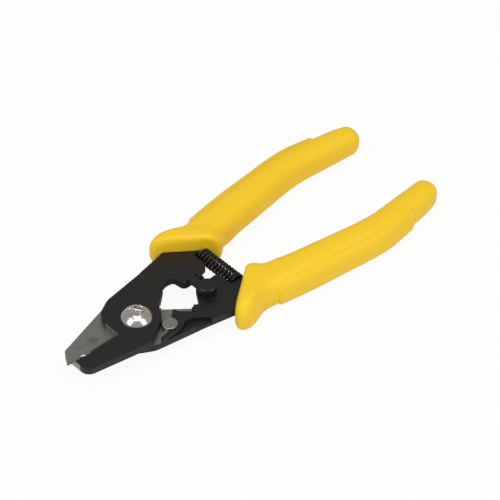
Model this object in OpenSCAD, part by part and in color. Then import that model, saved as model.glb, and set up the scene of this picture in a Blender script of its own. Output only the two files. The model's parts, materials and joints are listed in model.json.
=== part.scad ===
// Three-hole fibre stripper: two crossed spring-steel levers on one pivot screw,
// moulded grips, a return spring between the levers and a swing latch that holds
// the jaws shut. Model space: pivot axis on Z, jaws towards -X, handles towards +X,
// the two levers meet on the plane z = 0. in_frame() then stands the tool on its guards.

/* [Levers] */
// Thickness of each lever plate
plate_t = 2.5; // [2:0.1:3.2]
// Gap between the two ground contact faces
face_gap = 0.04; // [0.02:0.01:0.08]
// Distance from pivot axis to the blunt tip of the upper jaw
jaw_a_reach = 26.9; // [24:0.1:29]
// Distance from pivot axis to the pointed tip of the lower jaw
jaw_b_reach = 28.3; // [25:0.1:30]
// How far the two cutting edges pass each other when shut
edge_lap = 0.3; // [0.1:0.05:0.6]
// Distance from pivot axis to the shoulder behind the jaws
jaw_root = 9.2; // [8.6:0.1:10]
// Radius of the hub where it rolls past the stop pin
hub_r = 7.85; // [7:0.05:8.4]
// Radius of the ground recess around the pivot
recess_r = 11.2; // [10.4:0.1:12]
// Start of the step from hub level to handle level
joggle_x = 12.8; // [12:0.1:14]
// Length of that step
joggle_len = 1.8; // [1:0.1:3]

/* [Stripping holes] */
// Radius of the jacket hole, nearest the tip
hole_jacket_r = 1.0; // [0.8:0.05:1.2]
// Radius of the buffer hole
hole_buffer_r = 0.45; // [0.3:0.05:0.6]
// Radius of the coating hole, nearest the pivot
hole_coating_r = 0.2; // [0.1:0.05:0.3]
// Distance from pivot axis to the jacket hole
hole_jacket_x = 22; // [21:0.1:23]
// Spacing of the three holes along the jaws
hole_pitch = 4.7; // [4:0.1:5]

/* [Pivot] */
// Diameter of the pivot screw shank
pivot_d = 6; // [5:0.1:6.5]
// Radial running clearance of the upper lever on the shank
pivot_play = 0.05; // [0.02:0.01:0.09]
// Diameter of the button head
head_d = 10.5; // [9.5:0.1:11]
// Height of the button head
head_h = 3.3; // [2.8:0.1:3.6]
// Width across flats of the hexagon socket
socket_af = 4; // [3:0.1:4.5]
// Depth of the hexagon socket
socket_depth = 1.9; // [1.4:0.1:2.2]
// Width across flats of the thin nut
nut_af = 10; // [9:0.1:11]
// Height of the thin nut
nut_h = 3.2; // [2.6:0.1:3.4]
// Thickness of the washer under the nut
washer_t = 0.6; // [0.4:0.05:0.8]
// Outer diameter of that washer
washer_d = 11.5; // [10.5:0.1:12.5]

/* [Opening stop] */
// Diameter of the stop pin
stop_d = 5.2; // [4.6:0.1:5.6]
// Angle that the jaws open before the hub meets the stop pin
open_angle = 12; // [8:0.5:14]
// Height of the domed pin end above the handle level
stop_dome = 0.4; // [0.2:0.05:0.6]

/* [Grips] */
// Distance from pivot axis to the far end of the grips
grip_end = 114.3; // [108:0.1:120]
// Half thickness of the finger guard
guard_t = 6.8; // [6.4:0.1:7.4]
// Half thickness of the grip body
grip_t = 5.9; // [5.4:0.1:6.3]
// Height of the raised palm panel
panel_h = 0.9; // [0.4:0.1:1.2]
// Start of the palm panel from the pivot axis
panel_start = 41.5; // [40:0.5:46]
// End of the palm panel from the pivot axis
panel_end = 98; // [90:0.5:100]

/* [Return spring] */
// Mean diameter of the coil
coil_d = 4.5; // [4.2:0.1:4.8]
// Diameter of the spring wire
wire_d = 0.85; // [0.6:0.05:1]
// Number of turns
turns = 11; // [8:1:13]
// Distance from pivot axis to the spring axis
spring_x = 35.9; // [35:0.1:36.5]
// Length of the spigots that locate the spring ends
spigot_len = 2.6; // [2:0.1:3.2]

/* [Latch] */
// Thickness of the hook plate
hook_t = 1.3; // [1:0.1:1.5]
// Gap between the hook plate and the levers
hook_gap = 0.1; // [0.05:0.05:0.2]
// Diameter of the thumb knob
knob_d = 6.25; // [5.6:0.05:6.6]
// Height of the thumb knob
knob_h = 1.7; // [1.4:0.1:2]
// Diameter of the knob's stud
stud_d = 2.4; // [2:0.1:2.8]
// Radial running clearance of the stud in the lever
stud_play = 0.05; // [0.02:0.01:0.09]
// Diameter of the catch pin on the upper lever
catch_d = 1.6; // [1.4:0.1:1.8]
// Free travel of the catch pin before the hook takes the load
catch_slack = 0.5; // [0.4:0.05:0.6]

/* [Hidden] */
$fn = 64;

// Colours
steel_black = "#2b2c2d";
steel_bright = "#b9b9b4";
grip_yellow = "#f6c81e";

// Heights, counted from the plane where the levers meet
face_z = face_gap / 2;
hub_top = plate_t;
shank_z = plate_t / 2;
joggle_end = joggle_x + joggle_len;
far = 200;

// Frame: middle of the length, stood on the guards
frame_x = (grip_end - jaw_b_reach) / 2;

// Opening stop: the pin stands just outside the hub, at this angle below the jaw line
stop_angle = -53.2;
stop_play = 0.12;
stop_r = stop_d / 2;
stop_dist = hub_r + stop_r + stop_play;
stop_at = stop_dist * [cos(stop_angle), sin(stop_angle)];

// Shoulder behind the jaw: a straight face that meets the stop pin when the jaws are open
shoulder_angle = 32.3;
shoulder_len = 8.45;
shoulder_dir = [cos(shoulder_angle), sin(shoulder_angle)];
shoulder_out = [shoulder_dir.y, -shoulder_dir.x];
stop_seen = stop_dist * [cos(stop_angle - open_angle), sin(stop_angle - open_angle)];
shoulder_foot = stop_seen - shoulder_out * (stop_r + stop_play);
foot_along = shoulder_foot * shoulder_dir;
foot_square = shoulder_foot * shoulder_foot;
hub_start = shoulder_foot
    + shoulder_dir * (sqrt(foot_along * foot_along - foot_square + hub_r * hub_r) - foot_along);
shoulder_tip = shoulder_foot - shoulder_dir * shoulder_len;
hub_start_angle = atan2(hub_start.y, hub_start.x);
hub_end_angle = -18;

// Jaws
hole_places = [for (i = [0:2]) hole_jacket_x - i * hole_pitch];
hole_radii = [hole_jacket_r, hole_buffer_r, hole_coating_r];
relief_start = 0.7;
relief_spread = 0.95;
bevel_run = plate_t - face_z;

// Spring seats on the inner edges of the two levers
seat_a_y = 10.2;
seat_b_y = 8.0;
seat_start_x = spring_x - 5.3;
seat_end_x = spring_x + 2.6;
coil_out_r = (coil_d + wire_d) / 2;
coil_in_r = (coil_d - wire_d) / 2;
coil_gap = 0.12;
seat_gap = 0.06;
spigot_r = coil_in_r - coil_gap;
spigot_half = sqrt(spigot_r * spigot_r - shank_z * shank_z);
grip_coil_gap = 0.4;

// Latch: the stud turns in the lower lever, the catch pin stands in the upper one
stud_at = [24.8, -5.5];
catch_at = [26.8, 0.7];
catch_boss_r = 1.7;
catch_side_gap = 0.25;
hook_cover = 0.15;
hook_nose = 0.9;
hook_arm_w = 2.85;
hook_boss_r = 2.8;
hook_z = shank_z + hook_gap;
knob_z = hook_z + hook_t;
ring_t = 0.8;
ring_d = 5;
ring_gap = 0.05;
rivet_d = 3.2;
rivet_h = 0.5;

// Tangs end inside the grips
tang_inset = 22.3;
tang_end = grip_end - tang_inset;

// Grips: cross sections from the finger guard to the end cap, each
// [outer x, outer y, inner x, inner y, half thickness]; past body_x they follow the length
body_x = 50;
long = grip_end - body_x;
guard_sections = [
    [24.9, 20.1, 39.6, 7.6, guard_t - 1.9],
    [24.6, 21.6, 40.9, 6.8, guard_t - 0.6],
    [25.3, 23.2, 42.3, 7.0, guard_t],
    [27.6, 24.3, 43.6, 8.0, guard_t],
    [30.6, 23.7, 44.9, 9.3, guard_t - 0.3],
    [35.2, 21.6, 47.0, 10.1, grip_t + 0.2],
    [41.0, 21.9, 50.0, 10.5, grip_t],
    [body_x, 23.2, 54.5, 11.3, grip_t],
];
body_sections = [
    [body_x + 0.155 * long, 24.5, body_x + 0.18 * long, 12.4, grip_t],
    [body_x + 0.31 * long, 25.4, body_x + 0.325 * long, 14.0, grip_t],
    [body_x + 0.465 * long, 26.3, body_x + 0.47 * long, 15.5, grip_t],
    [body_x + 0.59 * long, 26.3, body_x + 0.585 * long, 16.0, grip_t - 0.1],
    [body_x + 0.745 * long, 24.9, body_x + 0.73 * long, 15.3, grip_t - 0.4],
    [body_x + 0.87 * long, 23.6, body_x + 0.855 * long, 14.2, grip_t - 0.7],
    [body_x + 0.94 * long, 22.2, body_x + 0.917 * long, 13.9, grip_t - 0.9],
];
sections = concat(guard_sections, body_sections);
grip_softness = 0.85;
palm_angle = 45;
cap_angles = [20, 38, 55, 71, 84];
panel_ramp = 0.12;

// ---------------------------------------------------------------- helpers

function unit(v) = v / norm(v);

// Points of a round corner p = [x, y, radius] between its neighbours a and b
function corner(a, p, b) =
    let (
        u = unit([a.x - p.x, a.y - p.y]),
        v = unit([b.x - p.x, b.y - p.y]),
        half = acos(u * v) / 2,
        centre = [p.x, p.y] + unit(u + v) * p.z / sin(half),
        from = [p.x, p.y] + u * p.z / tan(half) - centre,
        to = [p.x, p.y] + v * p.z / tan(half) - centre,
        start = atan2(from.y, from.x),
        turn = (atan2(to.y, to.x) - start + 540) % 360 - 180,
        n = max(2, ceil(abs(turn) / 11))
    )
    [for (i = [0:n]) centre + p.z * [cos(start + turn * i / n), sin(start + turn * i / n)]];

// Closed outline through corner points, each [x, y, radius]
function rounded(pts) =
    let (n = len(pts))
    [for (i = [0:n - 1])
        each pts[i].z > 0 ? corner(pts[(i + n - 1) % n], pts[i], pts[(i + 1) % n]) : [[pts[i].x, pts[i].y]]];

// Values from a to b in n steps
function span(a, b, n) = [for (i = [0:n]) a + (b - a) * i / n];

// Smooth curve through the rows of a table, k counted in rows
function curve(rows, k) =
    let (
        last = len(rows) - 1,
        i = min(floor(k), last - 1),
        u = k - i,
        a = rows[max(i - 1, 0)],
        b = rows[i],
        c = rows[i + 1],
        d = rows[min(i + 2, last)]
    )
    0.5 * (2 * b + (c - a) * u + (2 * a - 5 * b + 4 * c - d) * u * u + (3 * b - a - 3 * c + d) * u * u * u);

// Solid skin over rings of equal length, closed by its first and last ring
module loft(rings) {
    n = len(rings[0]);
    last = len(rings) - 1;
    sides = [for (i = [0:last - 1]) for (j = [0:n - 1])
        [i * n + j, i * n + (j + 1) % n, (i + 1) * n + (j + 1) % n, (i + 1) * n + j]];
    polyhedron(
        points = [for (ring = rings) each ring],
        faces = concat(sides, [[for (j = [n - 1:-1:0]) j]], [[for (j = [0:n - 1]) last * n + j]])
    );
}

// Stands a model built about the pivot on its guards, centred along X
module in_frame() translate([-frame_x, 0, guard_t]) children();

// Lower lever's side of the tool: the same blank turned over
module turned_over() rotate([180, 0, 0]) children();

// ---------------------------------------------------------------- levers

// Plan outline of a lever seen from its own side, in order: jaw, shoulder, hub arc that
// rolls past the stop pin, window edge, spring seat, tang, outer edge, jaw root
module lever_outline(jaw, window, seat_y) {
    hub = [for (a = span(hub_start_angle, hub_end_angle, 12)) [hub_r * cos(a), hub_r * sin(a), 0]];
    tang = [
        [seat_start_x, seat_y, 1.6],
        [seat_end_x, seat_y, 0],
        [60, 15.4, 20],
        [tang_end, 18.6, 2],
        [tang_end, 23.4, 2],
        [60, 21.9, 20],
        [31.5, 18.9, 3],
        [joggle_end, 15.5, 1.2],
    ];
    hub_back = [
        [joggle_x, 14.2, 1.2],
        [-2.2, 11.85, 6],
        [-7.6, 8.9, 4],
        [-jaw_root, 4.2, 4],
        [-jaw_root, edge_lap, 0],
    ];
    polygon(rounded(concat(
        jaw,
        [[shoulder_tip.x, shoulder_tip.y, 0.6]],
        hub,
        [[hub_r + 0.75, -0.7, 0]],
        window,
        tang,
        hub_back
    )));
}

// Ground recess that the other lever's hub turns in, with the ledge along the window
module recess_outline() {
    circle(r = recess_r);
    polygon([[8, 3], [17, 5.5], [15.6, 9.6], [11.6, 6.2], [7, 8]]);
}

// Relief along the outer edge, where the plate steps from hub level to handle level
module scoop_outline() {
    polygon(rounded([
        [-2, 14.5, 0],
        [0.4, 12.3, 0],
        [7.6, 12.6, 1.5],
        [10.6, 10.9, 2.2],
        [13.8, 11.5, 2.5],
        [17.4, 14.4, 0.8],
        [17.2, 17.5, 0],
        [-2, 17.5, 0],
    ]));
}

// Outline of the handle level, which also reaches below the meeting plane
module land_outline() {
    difference() {
        children();
        translate([-far + 0.4, -far / 2]) square(far);
        recess_outline();
        scoop_outline();
    }
}

// Side profile of the hub level, with its slope down to handle level
module hub_profile() {
    polygon([
        [-far, face_z],
        [joggle_end, face_z],
        [joggle_end, shank_z],
        [joggle_x, hub_top],
        [-far, hub_top],
    ]);
}

// A lever before its bores: hub level above the meeting plane, handle level about it
module lever_plate(jaw, window, seat_y) {
    intersection() {
        translate([0, 0, face_z]) linear_extrude(plate_t) lever_outline(jaw, window, seat_y);
        translate([0, far / 2, 0]) rotate([90, 0, 0]) linear_extrude(far) hub_profile();
    }
    translate([0, 0, face_z]) linear_extrude(shank_z - face_z) intersection() {
        lever_outline(jaw, window, seat_y);
        translate([joggle_end, -far / 2]) square(far);
    }
    translate([0, 0, -shank_z]) linear_extrude(shank_z + face_z)
        land_outline() lever_outline(jaw, window, seat_y);
    translate([spring_x - spigot_half, seat_y - spigot_len, -shank_z])
        cube([2 * spigot_half, spigot_len + 1, plate_t]);
}

// Ground bevel behind the cutting edge, and the three half-round stripping notches
module jaw_cuts() {
    translate([-far - jaw_root, 0, 0]) rotate([90, 0, 90]) linear_extrude(far) polygon([
        [edge_lap, face_z],
        [edge_lap + 1, face_z],
        [edge_lap + 1, hub_top + 1],
        [edge_lap - bevel_run - 1, hub_top + 1],
    ]);
    for (i = [0:2]) translate([-hole_places[i], 0, 0]) {
        translate([0, 0, -1]) cylinder(r = hole_radii[i], h = plate_t + 2);
        translate([0, 0, relief_start]) cylinder(
            r1 = hole_radii[i],
            r2 = hole_radii[i] + (plate_t - relief_start) * relief_spread,
            h = plate_t - relief_start + 0.01
        );
    }
}

jaw_a = [
    [-jaw_a_reach, edge_lap, 0.2],
    [-jaw_a_reach, -7.9, 3.2],
];
window_a = [
    [17.4, 7.0, 2.5],
    [20.8, 6.6, 1.4],
    [21.5, 2.0, 1.6],
    [28.6, 1.9, 0.8],
];
jaw_b = [
    [-jaw_b_reach, edge_lap, 0.15],
    [-25.0, -5.4, 1.5],
];
window_b = [
    [19.0, 8.2, 1.0],
    [23.3, 1.6, 0.8],
    [28.6, 1.6, 0.8],
];

module through(at, r) translate([at.x, at.y, -far / 2]) cylinder(r = r, h = far);

module lever_a() {
    color(steel_black) in_frame() difference() {
        union() {
            lever_plate(jaw_a, window_a, seat_a_y);
            translate([catch_at.x, catch_at.y, -shank_z]) cylinder(r = catch_boss_r, h = plate_t);
        }
        jaw_cuts();
        through([0, 0], pivot_d / 2 + pivot_play);
        through(catch_at, catch_d / 2);
    }
}

module lever_b() {
    color(steel_black) in_frame() difference() {
        turned_over() difference() {
            lever_plate(jaw_b, window_b, seat_b_y);
            jaw_cuts();
        }
        through([0, 0], pivot_d / 2);
        through(stop_at, stop_r);
        through(stud_at, stud_d / 2 + stud_play);
    }
}

// ---------------------------------------------------------------- grips

// Ring of grip skin: a soft-cornered cross section, raised along the palm by lift
function grip_ring(row, lift) =
    let (
        outer = [row[0], row[1]],
        inner = [row[2], row[3]],
        centre = (outer + inner) / 2,
        across = unit(outer - inner),
        w = norm(outer - inner) / 2,
        t = min(row[4], guard_t),
        r = grip_softness * min(w, t),
        palm = [-90, -68, -47, -43, -22, 0],
        finger = [180, 156, 134, 112, 90]
    )
    [for (p = concat(
        [for (a = palm) [a, 1, -1]],
        [for (i = [5:-1:0]) [-palm[i], 1, 1]],
        [for (i = [4:-1:0]) [finger[i], -1, 1]],
        [for (a = finger) [-a, -1, -1]]
    ))
        let (
            raise = p[1] > 0 && abs(p[0]) < palm_angle ? r + lift : r,
            x = p[1] * (w - r) + raise * cos(p[0]),
            z = p[2] * (t - r) + raise * sin(p[0])
        )
        [centre.x + across.x * x, centre.y + across.y * x, z]];

// Row count of the section whose outer x is nearest below x
function row_at(x, k = 3) =
    x > sections[k + 1][0] ? row_at(x, k + 1)
    : k + (x - sections[k][0]) / (sections[k + 1][0] - sections[k][0]);

// Rounded end cap: the last section shrunk along a quarter ellipse
function cap_rows() =
    let (
        row = sections[len(sections) - 1],
        outer = [row[0], row[1]],
        inner = [row[2], row[3]],
        centre = (outer + inner) / 2,
        across = unit(outer - inner),
        along = [across.y, -across.x],
        reach = (grip_end - centre.x) / along.x / sin(cap_angles[4])
    )
    [for (a = cap_angles)
        let (
            c = centre + along * reach * sin(a),
            h = across * norm(outer - inner) / 2 * cos(a)
        )
        [c.x + h.x, c.y + h.y, c.x - h.x, c.y - h.y, row[4] * cos(a)]];

module grip_skin() {
    start = row_at(panel_start);
    end = row_at(panel_end);
    last = len(sections) - 1;
    loft(concat(
        [for (k = span(0, start - panel_ramp, 16)) grip_ring(curve(sections, k), 0)],
        [for (k = span(start, end, 12)) grip_ring(curve(sections, k), panel_h)],
        [for (k = span(end + panel_ramp, last, 7)) grip_ring(curve(sections, k), 0)],
        [for (row = cap_rows()) grip_ring(row, 0)]
    ));
}

// Clear space round the coil where the guard hides its end
module coil_relief(seat_y) {
    translate([spring_x, seat_y, 0]) rotate([90, 0, 0]) cylinder(r = coil_out_r + grip_coil_gap, h = 12);
}

module grip_a() {
    color(grip_yellow) in_frame() difference() {
        grip_skin();
        lever_plate(jaw_a, window_a, seat_a_y);
        coil_relief(seat_a_y);
    }
}

module grip_b() {
    color(grip_yellow) in_frame() turned_over() difference() {
        grip_skin();
        lever_plate(jaw_b, window_b, seat_b_y);
        coil_relief(seat_b_y);
    }
}

// ---------------------------------------------------------------- pivot

head_z = hub_top + face_gap;
washer_gap = 0.15;
nut_z = -hub_top - washer_t - nut_h;
head_rim = 0.5;

// Button head: an arc of a ball above a short straight rim
module button_head() {
    rise = head_h - head_rim;
    ball_r = (pow(head_d / 2, 2) + pow(rise, 2)) / (2 * rise);
    end = asin(head_d / 2 / ball_r);
    rotate_extrude() polygon(concat(
        [[0, 0], [head_d / 2, 0]],
        [for (a = span(end, 0, 10)) [ball_r * sin(a), head_rim + rise - ball_r + ball_r * cos(a)]]
    ));
}

module pivot_screw() {
    color(steel_bright) in_frame() {
        translate([0, 0, head_z]) difference() {
            button_head();
            translate([0, 0, head_h - socket_depth])
                cylinder(d = socket_af / cos(30), h = head_h, $fn = 6);
        }
        translate([0, 0, nut_z]) cylinder(d = pivot_d, h = head_z - nut_z);
    }
}

module pivot_washer() {
    color(steel_bright) in_frame() translate([0, 0, -hub_top - washer_t]) difference() {
        cylinder(d = washer_d, h = washer_t);
        translate([0, 0, -1]) cylinder(r = pivot_d / 2 + washer_gap, h = washer_t + 2);
    }
}

// Thin hexagon nut, its corners turned off at both faces
module pivot_nut() {
    corner_r = nut_af / 2 / cos(30);
    bevel = 0.45;
    color(steel_black) in_frame() translate([0, 0, nut_z]) difference() {
        intersection() {
            cylinder(r = corner_r, h = nut_h, $fn = 6);
            rotate_extrude() polygon([
                [0, 0],
                [corner_r - 2 * bevel, 0],
                [corner_r, bevel],
                [corner_r, nut_h - bevel],
                [corner_r - 2 * bevel, nut_h],
                [0, nut_h],
            ]);
        }
        translate([0, 0, -1]) cylinder(d = pivot_d, h = nut_h + 2);
    }
}

// Dowel pressed into the lower lever, with a domed upper end
module stop_pin() {
    rim = stop_dome / 2;
    color(steel_bright) in_frame() translate([stop_at.x, stop_at.y, -hub_top]) rotate_extrude()
        polygon(concat(
            [[0, 0], [stop_r, 0]],
            [for (a = span(0, 90, 6))
                [stop_r - stop_dome + stop_dome * cos(a), hub_top + shank_z + rim + rim * sin(a)]],
            [[0, hub_top + shank_z + stop_dome]]
        ));
}

// ---------------------------------------------------------------- spring

// Coil between the two seats: a closed turn at each end, even turns between
coil_steps = 18;
coil_sides = 8;
coil_low = -seat_b_y + wire_d / 2 + seat_gap;
coil_high = seat_a_y - wire_d / 2 - seat_gap;
end_turn = wire_d * 1.04;

function coil_y(n) =
    let (open = (coil_high - coil_low - 2 * end_turn) / (turns - 2))
    n < 1 ? coil_low + end_turn * n
    : n > turns - 1 ? coil_high - end_turn * (turns - n)
    : coil_low + end_turn + open * (n - 1);

module return_spring() {
    color(steel_black) in_frame() translate([spring_x, 0, 0]) loft([
        for (k = [0:turns * coil_steps])
            let (a = 360 * k / coil_steps, y = coil_y(k / coil_steps))
            [for (j = [0:coil_sides - 1])
                let (b = 360 * (j + 0.5) / coil_sides, r = coil_d / 2 + wire_d / 2 * cos(b))
                [r * cos(a), y + wire_d / 2 * sin(b), r * sin(a)]]
    ]);
}

// ---------------------------------------------------------------- latch

// Swing hook about the stud: boss, arm and a nose that closes over the catch pin
module hook_outline() {
    arm_x = catch_at.x - stud_at.x - catch_d / 2 - catch_side_gap;
    mouth_y = catch_at.y - stud_at.y + catch_d / 2 + catch_slack;
    nose_x = catch_at.x - stud_at.x + hook_cover;
    circle(r = hook_boss_r);
    polygon(rounded([
        [arm_x - hook_arm_w, 0, 0],
        [arm_x, 0, 0],
        [arm_x, mouth_y, 0.3],
        [nose_x, mouth_y, 0.2],
        [nose_x, mouth_y + hook_nose, 0.4],
        [arm_x - hook_arm_w, mouth_y + hook_nose, 1.2],
    ]));
}

module latch_hook() {
    color(steel_black) in_frame() translate([stud_at.x, stud_at.y, hook_z]) difference() {
        linear_extrude(hook_t) hook_outline();
        translate([0, 0, -1]) cylinder(d = stud_d, h = hook_t + 2);
    }
}

// Thumb knob with its stud, riveted over below the ring
module latch_knob() {
    rim = 0.35;
    low = -shank_z - ring_gap - ring_t;
    color(steel_black) in_frame() translate([stud_at.x, stud_at.y, 0]) rotate_extrude() polygon([
        [0, low - rivet_h],
        [rivet_d / 2 - rim, low - rivet_h],
        [rivet_d / 2, low - rim / 2],
        [rivet_d / 2, low],
        [stud_d / 2, low],
        [stud_d / 2, knob_z],
        [knob_d / 2, knob_z],
        [knob_d / 2, knob_z + knob_h - rim],
        [knob_d / 2 - rim, knob_z + knob_h],
        [0, knob_z + knob_h],
    ]);
}

module latch_ring() {
    color(steel_bright) in_frame() translate([stud_at.x, stud_at.y, -shank_z - ring_gap - ring_t])
        difference() {
            cylinder(d = ring_d, h = ring_t);
            translate([0, 0, -1]) cylinder(d = stud_d, h = ring_t + 2);
        }
}

// Catch pin riveted into the boss of the upper lever, tall enough for the hook
module catch_pin() {
    rim = 0.15;
    top = hook_z + hook_t;
    color(steel_bright) in_frame() translate([catch_at.x, catch_at.y, 0]) rotate_extrude() polygon([
        [0, -shank_z],
        [catch_d / 2, -shank_z],
        [catch_d / 2, top - rim],
        [catch_d / 2 - rim, top],
        [0, top],
    ]);
}

// ---------------------------------------------------------------- output

lever_a();
lever_b();
grip_a();
grip_b();
pivot_screw();
pivot_washer();
pivot_nut();
stop_pin();
return_spring();
latch_hook();
latch_knob();
latch_ring();
catch_pin();
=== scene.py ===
import json
import math

import bmesh
import bpy
import numpy as np
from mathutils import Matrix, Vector


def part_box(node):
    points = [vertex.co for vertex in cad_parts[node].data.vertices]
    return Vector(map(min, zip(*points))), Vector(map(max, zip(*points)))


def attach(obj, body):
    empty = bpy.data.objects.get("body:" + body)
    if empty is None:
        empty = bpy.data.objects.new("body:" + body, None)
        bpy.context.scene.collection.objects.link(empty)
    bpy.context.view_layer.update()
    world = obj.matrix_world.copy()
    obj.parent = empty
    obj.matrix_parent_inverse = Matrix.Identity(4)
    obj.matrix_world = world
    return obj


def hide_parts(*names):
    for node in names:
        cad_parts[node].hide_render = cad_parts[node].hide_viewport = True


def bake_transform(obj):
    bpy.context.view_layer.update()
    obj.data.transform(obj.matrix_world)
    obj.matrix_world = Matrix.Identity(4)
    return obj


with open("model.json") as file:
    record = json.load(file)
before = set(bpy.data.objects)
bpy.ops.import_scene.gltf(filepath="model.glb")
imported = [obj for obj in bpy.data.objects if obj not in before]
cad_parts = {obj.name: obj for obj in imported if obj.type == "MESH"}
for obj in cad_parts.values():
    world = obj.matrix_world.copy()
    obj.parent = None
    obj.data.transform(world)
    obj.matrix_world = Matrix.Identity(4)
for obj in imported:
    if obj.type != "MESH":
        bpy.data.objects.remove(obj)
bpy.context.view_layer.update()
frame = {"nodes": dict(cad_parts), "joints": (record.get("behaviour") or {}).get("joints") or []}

MM = 0.001
PIVOT = Vector(frame["joints"][0]["pos_m"])
GUARD_T = PIVOT.z / MM
GRIP_END = (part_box("grip_a")[1][0] - PIVOT.x) / MM


def tool(x, y, z=0.0):
    """A point in millimetres from the pivot, on the plane where the levers meet, as a frame point."""
    return PIVOT + Vector((x, y, z)) * MM


# ---------------------------------------------------------------- node helpers


def new_material(name):
    """An empty node material with its Principled shader."""
    mat = bpy.data.materials.new(name)
    mat.use_nodes = True
    return mat, mat.node_tree.nodes["Principled BSDF"], mat.node_tree


def add(tree, kind, **values):
    """A node with its properties and input values set. Inputs are given by name, spaces as underscores."""
    node = tree.nodes.new(kind)
    for key, value in values.items():
        if hasattr(node, key):
            setattr(node, key, value)
        else:
            node.inputs[key.replace("_", " ")].default_value = value
    return node


def math_node(tree, operation, a, b=None):
    """A Math node's result, from sockets or numbers."""
    node = tree.nodes.new("ShaderNodeMath")
    node.operation = operation
    for socket, value in zip(node.inputs, (a, b)):
        if value is None:
            continue
        if isinstance(value, (int, float)):
            socket.default_value = value
        else:
            tree.links.new(value, socket)
    return node.outputs[0]


def ramp_between(tree, value, low, high):
    """0 below low, 1 above high, smooth between."""
    node = tree.nodes.new("ShaderNodeMapRange")
    node.interpolation_type = "SMOOTHSTEP"
    node.inputs["From Min"].default_value = low
    node.inputs["From Max"].default_value = high
    tree.links.new(value, node.inputs["Value"])
    return node.outputs["Result"]


def mix(tree, factor, a, b, kind, ports):
    """A Mix node's result. Ports are the numbers of its two inputs and of its output for that kind."""
    node = tree.nodes.new("ShaderNodeMix")
    node.data_type = kind
    first, second, result = ports
    for socket, value in ((node.inputs[0], factor), (node.inputs[first], a), (node.inputs[second], b)):
        if isinstance(value, bpy.types.NodeSocket):
            tree.links.new(value, socket)
        else:
            socket.default_value = value
    return node.outputs[result]


def mix_colour(tree, factor, a, b):
    """Colour a where factor is 0 and b where it is 1."""
    return mix(tree, factor, a, b, "RGBA", (6, 7, 2))


def mix_value(tree, factor, a, b):
    """Number a where factor is 0 and b where it is 1."""
    return mix(tree, factor, a, b, "FLOAT", (2, 3, 0))


def line_distance(tree, x, y, direction):
    """How far a point lies along a direction from the pivot."""
    part_x = math_node(tree, "MULTIPLY", x, direction[0])
    part_y = math_node(tree, "MULTIPLY", y, direction[1])
    return math_node(tree, "ADD", part_x, part_y)


def noise(tree, scale, detail=3.0, stretch=(1, 1, 1), roughness=0.55):
    """Noise in object space, scale in cycles per metre."""
    coords = tree.nodes.new("ShaderNodeTexCoord")
    mapping = tree.nodes.new("ShaderNodeMapping")
    mapping.inputs["Scale"].default_value = stretch
    tree.links.new(coords.outputs["Object"], mapping.inputs["Vector"])
    texture = add(tree, "ShaderNodeTexNoise", Scale=scale, Detail=detail, Roughness=roughness)
    tree.links.new(mapping.outputs["Vector"], texture.inputs["Vector"])
    return texture.outputs["Fac"]


def bump(tree, shader, height, distance, strength=1.0):
    """Fine relief from a height socket, distance in metres."""
    node = add(tree, "ShaderNodeBump", Strength=strength, Distance=distance)
    tree.links.new(height, node.inputs["Height"])
    tree.links.new(node.outputs["Normal"], shader.inputs["Normal"])


# ---------------------------------------------------------------- materials

BLACK = (0.0065, 0.0067, 0.0072, 1)
BLACK_WORN = (0.011, 0.011, 0.0115, 1)
STEEL = (0.36, 0.355, 0.335, 1)
STEEL_DARK = (0.27, 0.262, 0.245, 1)
STEEL_STAIN = (0.22, 0.2, 0.175, 1)
NICKEL = (0.66, 0.64, 0.6, 1)
TURNED_STEEL = (0.4, 0.395, 0.365, 1)
YELLOW = (0.93, 0.59, 0.012, 1)
YELLOW_PALE = (0.96, 0.625, 0.015, 1)
YELLOW_SCUFF = (0.86, 0.49, 0.01, 1)
OXIDE_SHINE = 0.36
PLASTIC_SHINE = 0.4

# Where the levers are bare, in metres from the pivot. A pair is where a ramp starts and ends.
CONTACT_DEPTH = 0.0002
PATCH_DIRECTION = (0.657, -0.754)
PATCH_END = (0.0106, 0.0101)
STRIP_DIRECTION = (0.679, 0.734)
STRIP_EDGE = (0.0050, 0.0053)
STRIP_FROM = 0.0128
JAW_HALF = 0.0046
JAW_FROM = 0.0088


def black_oxide(name, roughness=0.42):
    """Black oxide on stamped steel: near black, a faint mottle and a fine tooth."""
    mat, shader, tree = new_material(name)
    mottle = noise(tree, 260, 4)
    colour = mix_colour(tree, mottle, BLACK, BLACK_WORN)
    tree.links.new(colour, shader.inputs["Base Color"])
    rough = mix_value(tree, noise(tree, 900, 3), roughness - 0.06, roughness + 0.08)
    tree.links.new(rough, shader.inputs["Roughness"])
    shader.inputs["Specular IOR Level"].default_value = OXIDE_SHINE
    bump(tree, shader, noise(tree, 5200, 2), 0.00002, 0.5)
    return mat


def bright_metal(name, colour, roughness, grain=(1, 1, 1), tooth=0.35):
    """Bare or plated steel with a fine grain."""
    mat, shader, tree = new_material(name)
    streaks = noise(tree, 1500, 4, grain)
    tint = mix_colour(tree, streaks, colour, tuple(c * 0.86 for c in colour[:3]) + (1,))
    tree.links.new(tint, shader.inputs["Base Color"])
    shader.inputs["Metallic"].default_value = 1.0
    rough = mix_value(tree, streaks, roughness - 0.04, roughness + 0.06)
    tree.links.new(rough, shader.inputs["Roughness"])
    bump(tree, shader, streaks, 0.00001, tooth)
    return mat


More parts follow.
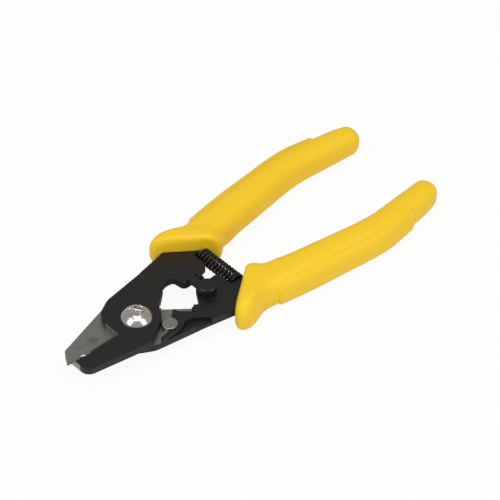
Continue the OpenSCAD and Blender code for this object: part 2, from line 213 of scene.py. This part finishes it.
def lever_material(name, side):
    """Black oxide with bare ground steel on the contact face, the jaw bevel and the notches.

    side is 1 for the upper lever, which is ground on its underside, and -1 for the lower one."""
    mat, shader, tree = new_material(name)
    coords = tree.nodes.new("ShaderNodeTexCoord")
    place = tree.nodes.new("ShaderNodeSeparateXYZ")
    facing = tree.nodes.new("ShaderNodeSeparateXYZ")
    tree.links.new(coords.outputs["Object"], place.inputs[0])
    tree.links.new(coords.outputs["Normal"], facing.inputs[0])
    x, y, z = place.outputs
    nx, ny, nz = facing.outputs

    # The ground contact face looks at the other lever and lies on the meeting plane
    contact = ramp_between(tree, math_node(tree, "MULTIPLY", nz, -side), 0.9, 0.98)
    level = math_node(tree, "ABSOLUTE", math_node(tree, "SUBTRACT", z, PIVOT.z))
    flat = math_node(tree, "LESS_THAN", level, CONTACT_DEPTH)
    ground = math_node(tree, "MULTIPLY", contact, flat)

    # The grinding stops at a line across the recess, and goes on as a strip along the window
    along = math_node(tree, "SUBTRACT", x, PIVOT.x)
    across = math_node(tree, "MULTIPLY", y, -side)
    in_patch = ramp_between(tree, line_distance(tree, along, across, PATCH_DIRECTION), *PATCH_END)
    in_strip = ramp_between(tree, line_distance(tree, along, across, STRIP_DIRECTION), *STRIP_EDGE)
    past_patch = math_node(tree, "GREATER_THAN", along, STRIP_FROM)
    in_strip = math_node(tree, "MULTIPLY", in_strip, past_patch)
    ground = math_node(tree, "MULTIPLY", ground, math_node(tree, "MAXIMUM", in_patch, in_strip))

    # The bevel, the notches and the wall behind them look towards the cutting line
    near_line = math_node(tree, "LESS_THAN", math_node(tree, "ABSOLUTE", y), JAW_HALF)
    in_jaw = math_node(tree, "LESS_THAN", x, PIVOT.x - JAW_FROM)
    steep = ramp_between(tree, math_node(tree, "ABSOLUTE", nz), 0.97, 0.9)
    inner = math_node(tree, "MULTIPLY", math_node(tree, "MULTIPLY", near_line, in_jaw), steep)
    towards = math_node(tree, "MULTIPLY", ny, side)
    inner = math_node(tree, "MULTIPLY", inner, ramp_between(tree, towards, -0.9, -0.7))
    bare = math_node(tree, "MAXIMUM", ground, inner)

    streaks = noise(tree, 900, 5, (0.35, 2.6, 1.0))
    blotch = noise(tree, 130, 3)
    steel = mix_colour(tree, streaks, STEEL, STEEL_DARK)
    stained = mix_colour(tree, ramp_between(tree, blotch, 0.56, 0.75), steel, STEEL_STAIN)
    oxide = mix_colour(tree, noise(tree, 260, 4), BLACK, BLACK_WORN)
    tree.links.new(mix_colour(tree, bare, oxide, stained), shader.inputs["Base Color"])
    tree.links.new(bare, shader.inputs["Metallic"])
    rough_steel = mix_value(tree, streaks, 0.36, 0.5)
    rough_black = mix_value(tree, noise(tree, 900, 3), 0.36, 0.5)
    tree.links.new(mix_value(tree, bare, rough_black, rough_steel), shader.inputs["Roughness"])
    shader.inputs["Specular IOR Level"].default_value = OXIDE_SHINE
    height = mix_value(tree, bare, noise(tree, 5200, 2), streaks)
    bump(tree, shader, height, 0.00002, 0.45)
    return mat


def grip_material(name):
    """Soft moulded plastic: warm yellow, matte, with a fine moulded tooth and faint handling marks."""
    mat, shader, tree = new_material(name)
    cloud = noise(tree, 45, 3)
    colour = mix_colour(tree, cloud, YELLOW, YELLOW_PALE)
    scuff = ramp_between(tree, noise(tree, 420, 5, (0.5, 1.6, 1)), 0.62, 0.8)
    colour = mix_colour(tree, math_node(tree, "MULTIPLY", scuff, 0.25), colour, YELLOW_SCUFF)
    tree.links.new(colour, shader.inputs["Base Color"])
    rough = mix_value(tree, noise(tree, 700, 3), 0.44, 0.58)
    tree.links.new(rough, shader.inputs["Roughness"])
    shader.inputs["Specular IOR Level"].default_value = PLASTIC_SHINE
    bump(tree, shader, noise(tree, 3600, 2), 0.00003, 0.35)
    return mat


# ---------------------------------------------------------------- meshes


def link(name, mesh, material):
    """A new object in the scene with its material."""
    obj = bpy.data.objects.new(name, mesh)
    bpy.context.collection.objects.link(obj)
    mesh.materials.append(material)
    return obj


def closed_mesh(name, points, faces):
    """A mesh from points and faces, with every face looking outwards."""
    mesh = bpy.data.meshes.new(name)
    mesh.from_pydata(points, [], faces)
    tidy = bmesh.new()
    tidy.from_mesh(mesh)
    bmesh.ops.recalc_face_normals(tidy, faces=tidy.faces)
    tidy.to_mesh(mesh)
    tidy.free()
    return mesh


def mesh_of_rings(name, rings):
    """A smooth closed skin over rings of equal length, each a list of points."""
    count = len(rings[0])
    points = [tuple(p) for ring in rings for p in ring]
    faces = []
    for i in range(len(rings) - 1):
        for j in range(count):
            k = (j + 1) % count
            faces.append((i * count + j, i * count + k, (i + 1) * count + k, (i + 1) * count + j))
    faces.append(tuple(range(count - 1, -1, -1)))
    last = (len(rings) - 1) * count
    faces.append(tuple(last + j for j in range(count)))
    mesh = closed_mesh(name, points, faces)
    for face in mesh.polygons:
        face.use_smooth = True
    return mesh


# ---------------------------------------------------------------- grips

BODY_X = 50.0
LONG = GRIP_END - BODY_X
GRIP_T = GUARD_T - 0.9
# Each row: outer edge x, y; inner edge x, y; half thickness, in millimetres along the upper grip
GRIP_SECTIONS = np.array([
    [24.1, 19.4, 39.6, 7.6, GUARD_T - 1.9],
    [23.7, 20.8, 40.9, 6.8, GUARD_T - 0.6],
    [24.3, 22.3, 42.3, 7.0, GUARD_T],
    [26.5, 23.2, 43.6, 8.0, GUARD_T],
    [29.6, 22.8, 44.9, 9.3, GUARD_T - 0.3],
    [34.8, 21.1, 47.0, 10.0, GRIP_T + 0.2],
    [41.0, 21.7, 50.0, 10.3, GRIP_T],
    [BODY_X, 23.2, 54.5, 11.3, GRIP_T],
    [BODY_X + 0.155 * LONG, 24.5, BODY_X + 0.18 * LONG, 12.4, GRIP_T],
    [BODY_X + 0.31 * LONG, 25.4, BODY_X + 0.325 * LONG, 14.0, GRIP_T],
    [BODY_X + 0.465 * LONG, 26.3, BODY_X + 0.47 * LONG, 15.5, GRIP_T],
    [BODY_X + 0.59 * LONG, 26.3, BODY_X + 0.585 * LONG, 16.0, GRIP_T - 0.1],
    [BODY_X + 0.745 * LONG, 24.9, BODY_X + 0.73 * LONG, 15.3, GRIP_T - 0.4],
    [BODY_X + 0.87 * LONG, 23.9, BODY_X + 0.855 * LONG, 14.6, GRIP_T - 0.7],
    [BODY_X + 0.935 * LONG, 22.7, BODY_X + 0.912 * LONG, 14.4, GRIP_T - 0.9],
])
PANEL = (41.5, 98.0)
PANEL_H = 0.9
PANEL_ANGLE = 45.0
SOFTNESS = 0.85
CORNER_POINTS = 14
GRIP_RINGS = 260
END_GAP = 0.4
CAP_STEP = 6
CAP_LAST = 88


def curve_row(k):
    """The cross section at row k of the table, on a smooth curve through its rows."""
    last = len(GRIP_SECTIONS) - 1
    i = min(int(k), last - 1)
    u = k - i
    a, b = GRIP_SECTIONS[max(i - 1, 0)], GRIP_SECTIONS[i]
    c, d = GRIP_SECTIONS[i + 1], GRIP_SECTIONS[min(i + 2, last)]
    return 0.5 * (
        2 * b + (c - a) * u + (2 * a - 5 * b + 4 * c - d) * u * u + (3 * b - a - 3 * c + d) * u**3
    )


def smooth_step(value, low, high):
    """0 below low, 1 above high, smooth between."""
    u = min(max((value - low) / (high - low), 0.0), 1.0)
    return u * u * (3 - 2 * u)


def grip_ring(row, lift):
    """Points round one cross section, in millimetres, with the palm side raised by lift."""
    outer, inner = row[0:2], row[2:4]
    centre = (outer + inner) / 2
    half = np.linalg.norm(outer - inner) / 2
    across = (outer - inner) / (2 * half)
    thick = min(row[4], GUARD_T)
    r = SOFTNESS * min(half, thick)
    ring = []
    for side, up in ((1, -1), (1, 1), (-1, 1), (-1, -1)):
        start = {(1, -1): -90, (1, 1): 0, (-1, 1): 90, (-1, -1): 180}[(side, up)]
        for i in range(CORNER_POINTS):
            a = math.radians(start + 90 * i / (CORNER_POINTS - 1))
            off_palm = abs(math.degrees(a)) if side > 0 else 180
            raised = r + lift * (1 - smooth_step(off_palm, PANEL_ANGLE - 5, PANEL_ANGLE + 3))
            x = side * (half - r) + raised * math.cos(a)
            z = up * (thick - r) + raised * math.sin(a)
            ring.append((centre[0] + across[0] * x, centre[1] + across[1] * x, z))
    return ring


def grip_mesh(name, hand):
    """The moulded grip. hand is 1 for the upper lever's and -1 for the lower lever's."""
    last = len(GRIP_SECTIONS) - 1
    rings = []
    for k in np.linspace(0, last, GRIP_RINGS):
        row = curve_row(k)
        lift = PANEL_H * smooth_step(row[0], PANEL[0] - 0.5, PANEL[0] + 0.3)
        lift *= 1 - smooth_step(row[0], PANEL[1] - 0.3, PANEL[1] + 0.6)
        rings.append(grip_ring(row, lift))
    row = curve_row(last)
    outer, inner = row[0:2], row[2:4]
    centre = (outer + inner) / 2
    arm = (outer - inner) / 2
    along = np.array([arm[1], -arm[0]]) / np.linalg.norm(arm)
    reach = (GRIP_END - END_GAP - centre[0]) / along[0] / math.sin(math.radians(CAP_LAST))
    for degrees in list(range(CAP_STEP, CAP_LAST, CAP_STEP)) + [CAP_LAST]:
        a = math.radians(degrees)
        middle = centre + along * reach * math.sin(a)
        cap = np.concatenate([
            middle + arm * math.cos(a),
            middle - arm * math.cos(a),
            [row[4] * math.cos(a)],
        ])
        rings.append(grip_ring(cap, 0.0))
    placed = [[tool(x, hand * y, hand * z) for x, y, z in ring] for ring in rings]
    return mesh_of_rings(name, placed)


def make_grip(name, hand, body, node):
    """One grip in place of its CAD node."""
    grip = link(name, grip_mesh(name, hand), grip_material(name + "_plastic"))
    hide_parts(node)
    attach(grip, body)


make_grip("moulded_grip_upper", 1, "upper", "grip_a")
make_grip("moulded_grip_lower", -1, "lower", "grip_b")

# ---------------------------------------------------------------- return spring

SPRING_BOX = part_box("return_spring")
COIL_OUT = (SPRING_BOX[1][0] - SPRING_BOX[0][0]) / MM
WIRE_D = 1.0
COIL_D = COIL_OUT - WIRE_D
TURNS = 12
TURN_STEPS = 40
WIRE_SIDES = 14
SPRING_X = ((SPRING_BOX[0][0] + SPRING_BOX[1][0]) / 2 - PIVOT.x) / MM
SPRING_LOW = (SPRING_BOX[0][1] - PIVOT.y) / MM + WIRE_D / 2
SPRING_HIGH = (SPRING_BOX[1][1] - PIVOT.y) / MM - WIRE_D / 2


def coil_y(n):
    """Height of the wire after n turns: a closed turn at each end, even turns between."""
    closed = WIRE_D * 1.04
    pitch = (SPRING_HIGH - SPRING_LOW - 2 * closed) / (TURNS - 2)
    if n < 1:
        return SPRING_LOW + closed * n
    if n > TURNS - 1:
        return SPRING_HIGH - closed * (TURNS - n)
    return SPRING_LOW + closed + pitch * (n - 1)


def spring_rings():
    """Rings round the wire, all along the coil."""
    rings = []
    for k in range(TURNS * TURN_STEPS + 1):
        a = 2 * math.pi * k / TURN_STEPS
        y = coil_y(k / TURN_STEPS)
        ring = []
        for j in range(WIRE_SIDES):
            b = 2 * math.pi * j / WIRE_SIDES
            r = COIL_D / 2 + WIRE_D / 2 * math.cos(b)
            height = y + WIRE_D / 2 * math.sin(b)
            ring.append(tool(SPRING_X + r * math.cos(a), height, r * math.sin(a)))
        rings.append(ring)
    return rings


spring = link("coil_spring", mesh_of_rings("coil_spring", spring_rings()), black_oxide("spring_wire", 0.3))
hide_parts("return_spring")
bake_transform(spring)

# ---------------------------------------------------------------- pivot screw

SCREW_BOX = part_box("pivot_screw")
HEAD_R = (SCREW_BOX[1][0] - SCREW_BOX[0][0]) / MM / 2
HEAD_TOP = (SCREW_BOX[1][2] - PIVOT.z) / MM
HEAD_H = 3.3
HEAD_RIM = 0.5
SHANK_R = 3.0
SHANK_END = (SCREW_BOX[0][2] - PIVOT.z) / MM
SOCKET_AF = 4.0
SOCKET_DEPTH = 1.9
SOCKET_MOUTH = 0.28
SCREW_SIDES = 144
DOME_RINGS = 24
SMOOTH_BELOW = 38


def dome_z(r):
    """Height of the button head at radius r: an arc of a ball above a short straight rim."""
    rise = HEAD_H - HEAD_RIM
    ball = (HEAD_R**2 + rise**2) / (2 * rise)
    return HEAD_TOP - ball + math.sqrt(ball**2 - r**2)


def make_screw(material):
    """Button head screw: shank, head, dome, softened socket mouth, hexagon walls and socket floor."""
    base = HEAD_TOP - HEAD_H
    profile = [
        (SHANK_R * 0.9, SHANK_END),
        (SHANK_R, SHANK_END + 0.3),
        (SHANK_R, base),
        (HEAD_R - 0.25, base),
        (HEAD_R - 0.04, base + 0.12),
        (HEAD_R, base + 0.25),
        (HEAD_R, base + HEAD_RIM - 0.1),
    ]
    rings = [[point] * SCREW_SIDES for point in profile]
    angles = [2 * math.pi * j / SCREW_SIDES for j in range(SCREW_SIDES)]
    hexagon = [SOCKET_AF / 2 / math.cos((a % (math.pi / 3)) - math.pi / 6) for a in angles]
    for i in range(1, DOME_RINGS + 1):
        t = i / DOME_RINGS
        radii = [HEAD_R + (h + SOCKET_MOUTH - HEAD_R) * t for h in hexagon]
        rings.append([(r, dome_z(r)) for r in radii])
    edge = [dome_z(h + SOCKET_MOUTH) for h in hexagon]
    rings.append([(h + SOCKET_MOUTH * 0.3, z - SOCKET_MOUTH * 0.25) for h, z in zip(hexagon, edge)])
    rings.append([(h, z - SOCKET_MOUTH) for h, z in zip(hexagon, edge)])
    floor = HEAD_TOP - SOCKET_DEPTH
    for share, z in ((1.0, floor + 0.08), (0.96, floor), (0.5, floor - 0.15)):
        rings.append([(h * share, z) for h in hexagon])
    placed = [
        [tool(r * math.cos(a), r * math.sin(a), z) for (r, z), a in zip(ring, angles)] for ring in rings
    ]
    mesh = mesh_of_rings("button_head_screw", placed)
    mesh.set_sharp_from_angle(angle=math.radians(SMOOTH_BELOW))
    screw = link("button_head_screw", mesh, material)
    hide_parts("pivot_screw")
    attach(screw, "lower")


# ---------------------------------------------------------------- levers

EDGE_STEPS = 3
FLAT_ANGLE = 0.6
LEVER_EDGE = 0.16
SHARP_ANGLE = 28
ROUND_PIECE_ANGLE = 35
WELD = 0.000002


def prism(name, outline, low, high):
    """A closed prism over a plan outline. lever_copy joins or cuts with it, and then deletes it."""
    count = len(outline)
    points = [tuple(tool(px, py, z)) for z in (low, high) for px, py in outline]
    faces = [tuple(range(count - 1, -1, -1)), tuple(range(count, 2 * count))]
    faces += [(i, (i + 1) % count, count + (i + 1) % count, count + i) for i in range(count)]
    obj = bpy.data.objects.new(name, closed_mesh(name, points, faces))
    bpy.context.collection.objects.link(obj)
    return obj


def soften(obj, edge, angle):
    """Rounds the sharp edges of an object by that many millimetres."""
    flat = obj.modifiers.new("flat_faces", "DECIMATE")
    flat.decimate_type = "DISSOLVE"
    flat.angle_limit = math.radians(FLAT_ANGLE)
    soft = obj.modifiers.new("soft_edges", "BEVEL")
    soft.width = edge * MM
    soft.segments = EDGE_STEPS
    soft.limit_method = "ANGLE"
    soft.angle_limit = math.radians(angle)
    soft.harden_normals = True


def lever_copy(name, node, body, material, changes):
    """A new object with the CAD lever's form, with prisms joined or cut away, that stands for the lever."""
    source = frame["nodes"][node]
    mesh = source.data.copy()
    mesh.name = name
    mesh.transform(source.matrix_world)
    mesh.materials.clear()
    welded = bmesh.new()
    welded.from_mesh(mesh)
    bmesh.ops.remove_doubles(welded, verts=welded.verts, dist=WELD)
    welded.to_mesh(mesh)
    welded.free()
    lever = link(name, mesh, material)
    for operation, shape in changes:
        change = lever.modifiers.new(shape.name, "BOOLEAN")
        change.operation = operation
        change.object = shape
        change.solver = "EXACT"
    graph = bpy.context.evaluated_depsgraph_get()
    lever.data = bpy.data.meshes.new_from_object(lever.evaluated_get(graph))
    lever.modifiers.clear()
    for operation, shape in changes:
        bpy.data.objects.remove(shape)
    soften(lever, LEVER_EDGE, SHARP_ANGLE)
    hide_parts(node)
    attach(lever, body)


# Each lever reaches close to the spring on both sides of the gap between them
SEAT_EDGE = SPRING_X - 3.0
UPPER_SHOULDER = [
    (27.6, 2.4),
    (30.0, 3.1),
    (32.0, 3.6),
    (SEAT_EDGE, 4.6),
    (SEAT_EDGE, 10.6),
    (29.5, 10.6),
    (27.6, 8.0),
]
LOWER_SHOULDER = [
    (27.0, -1.7),
    (27.0, -8.0),
    (29.5, -8.6),
    (SEAT_EDGE, -8.6),
    (SEAT_EDGE, -2.4),
    (32.2, -1.5),
    (30.0, -1.5),
]
# The lower lever's window ends on a straight edge, with a low ledge beside it
WINDOW_BLOCK = [(9.2, -0.7), (17.2, -7.4), (19.0, -5.2), (13.0, 1.0)]
WINDOW_LEDGE = [(7.8, 0.6), (17.6, -7.7), (15.9, -7.6), (7.8, -3.6)]
HALF_PLATE = 1.25
THROUGH = 4.0
LEDGE_Z = -0.02

upper_changes = [("UNION", prism("upper_shoulder", UPPER_SHOULDER, -HALF_PLATE, HALF_PLATE))]
lower_changes = [
    ("UNION", prism("lower_shoulder", LOWER_SHOULDER, -HALF_PLATE, HALF_PLATE)),
    ("DIFFERENCE", prism("window_block", WINDOW_BLOCK, -THROUGH, THROUGH)),
    ("DIFFERENCE", prism("window_ledge", WINDOW_LEDGE, LEDGE_Z, HALF_PLATE + 0.5)),
]
upper_steel = lever_material("lever_upper_steel", 1)
lever_copy("crossed_lever_upper", "lever_a", "upper", upper_steel, upper_changes)
lower_steel = lever_material("lever_lower_steel", -1)
lever_copy("crossed_lever_lower", "lever_b", "lower", lower_steel, lower_changes)

# ---------------------------------------------------------------- finish of the screw and the CAD nodes


def dress(node, material, edge=0.0, angle=SHARP_ANGLE):
    """Gives a CAD node its material and, where edge is set, softens its edges by that many millimetres."""
    obj = frame["nodes"][node]
    for slot in obj.material_slots:
        slot.material = material
    if edge:
        soften(obj, edge, angle)


plated = bright_metal("plated_steel", NICKEL, 0.17)
turned = bright_metal("turned_steel", TURNED_STEEL, 0.34)
make_screw(plated)
dress("pivot_washer", turned)
dress("pivot_nut", black_oxide("nut_oxide"), 0.08, ROUND_PIECE_ANGLE)
dress("stop_pin", turned)
dress("latch_hook", black_oxide("hook_oxide"), 0.1)
dress("latch_knob", black_oxide("knob_oxide", 0.38), 0.1, ROUND_PIECE_ANGLE)
dress("latch_ring", turned)
dress("catch_pin", black_oxide("catch_oxide"))

# ---------------------------------------------------------------- floor, light, camera

FLOOR_SIZE = 6.0
FLOOR_Z = -0.0001
FLOOR_WHITE = 0.93
AMBIENT = 0.42


def make_floor():
    """A pale floor just under the tool, which the camera sees as nearly white with the tool's shadow."""
    bpy.ops.mesh.primitive_plane_add(size=FLOOR_SIZE, location=(0, 0, FLOOR_Z))
    floor = bpy.context.object
    floor.name = "floor"
    mat, shader, tree = new_material("pale_floor")
    shader.inputs["Base Color"].default_value = (0.9, 0.9, 0.9, 1)
    shader.inputs["Roughness"].default_value = 0.9
    shader.inputs["Specular IOR Level"].default_value = 0.1
    glow = add(tree, "ShaderNodeEmission", Strength=1.0)
    path = tree.nodes.new("ShaderNodeLightPath")
    mix = tree.nodes.new("ShaderNodeMixShader")
    share = math_node(tree, "MULTIPLY", path.outputs["Is Camera Ray"], FLOOR_WHITE)
    tree.links.new(share, mix.inputs[0])
    tree.links.new(shader.outputs[0], mix.inputs[1])
    tree.links.new(glow.outputs[0], mix.inputs[2])
    tree.links.new(mix.outputs[0], tree.nodes["Material Output"].inputs["Surface"])
    floor.data.materials.append(mat)


def make_world():
    """An even white surround: full white for the camera, dimmer as light."""
    world = bpy.data.worlds.new("studio")
    bpy.context.scene.world = world
    world.use_nodes = True
    tree = world.node_tree
    ambient = tree.nodes["Background"]
    ambient.inputs["Color"].default_value = (1, 1, 1, 1)
    ambient.inputs["Strength"].default_value = AMBIENT
    white = add(tree, "ShaderNodeBackground", Color=(1, 1, 1, 1), Strength=1.0)
    path = tree.nodes.new("ShaderNodeLightPath")
    mix = tree.nodes.new("ShaderNodeMixShader")
    tree.links.new(path.outputs["Is Camera Ray"], mix.inputs[0])
    tree.links.new(ambient.outputs[0], mix.inputs[1])
    tree.links.new(white.outputs[0], mix.inputs[2])
    tree.links.new(mix.outputs[0], tree.nodes["World Output"].inputs["Surface"])


def aim(obj, target):
    """Turns a lamp or a camera towards a point."""
    obj.rotation_euler = (Vector(target) - obj.location).to_track_quat("-Z", "Y").to_euler()


def soft_light(name, azimuth, elevation, distance, size, power):
    """A softbox round the middle of the tool. Azimuth 0 is the camera's side."""
    lamp = bpy.data.lights.new(name, "AREA")
    lamp.shape = "RECTANGLE"
    lamp.size, lamp.size_y = size
    lamp.energy = power
    obj = bpy.data.objects.new(name, lamp)
    bpy.context.collection.objects.link(obj)
    a = math.atan2(CAMERA_AT.y - LOOK_AT.y, CAMERA_AT.x - LOOK_AT.x) + math.radians(azimuth)
    e = math.radians(elevation)
    away = Vector((math.cos(a) * math.cos(e), math.sin(a) * math.cos(e), math.sin(e)))
    obj.location = LOOK_AT + distance * away
    aim(obj, LOOK_AT)


CAMERA_AT = tool(-351.6, -438.1, 553.6)
LOOK_AT = tool(48.7, 0.34)

camera = bpy.data.objects.new("camera", bpy.data.cameras.new("camera"))
bpy.context.collection.objects.link(camera)
camera.data.lens = 180
camera.data.sensor_width = 36
camera.data.clip_start = 0.01
camera.data.shift_x = -0.0008
camera.data.shift_y = 0.001
camera.location = CAMERA_AT
aim(camera, LOOK_AT)
bpy.context.scene.camera = camera

make_floor()
make_world()
soft_light("key_left", azimuth=-55, elevation=42, distance=0.9, size=(0.35, 0.5), power=2.2)
soft_light("key_right", azimuth=55, elevation=40, distance=0.9, size=(0.35, 0.5), power=1.9)
soft_light("top", azimuth=12, elevation=78, distance=1.0, size=(0.7, 0.6), power=2.6)

bpy.context.scene.view_settings.view_transform = "Standard"
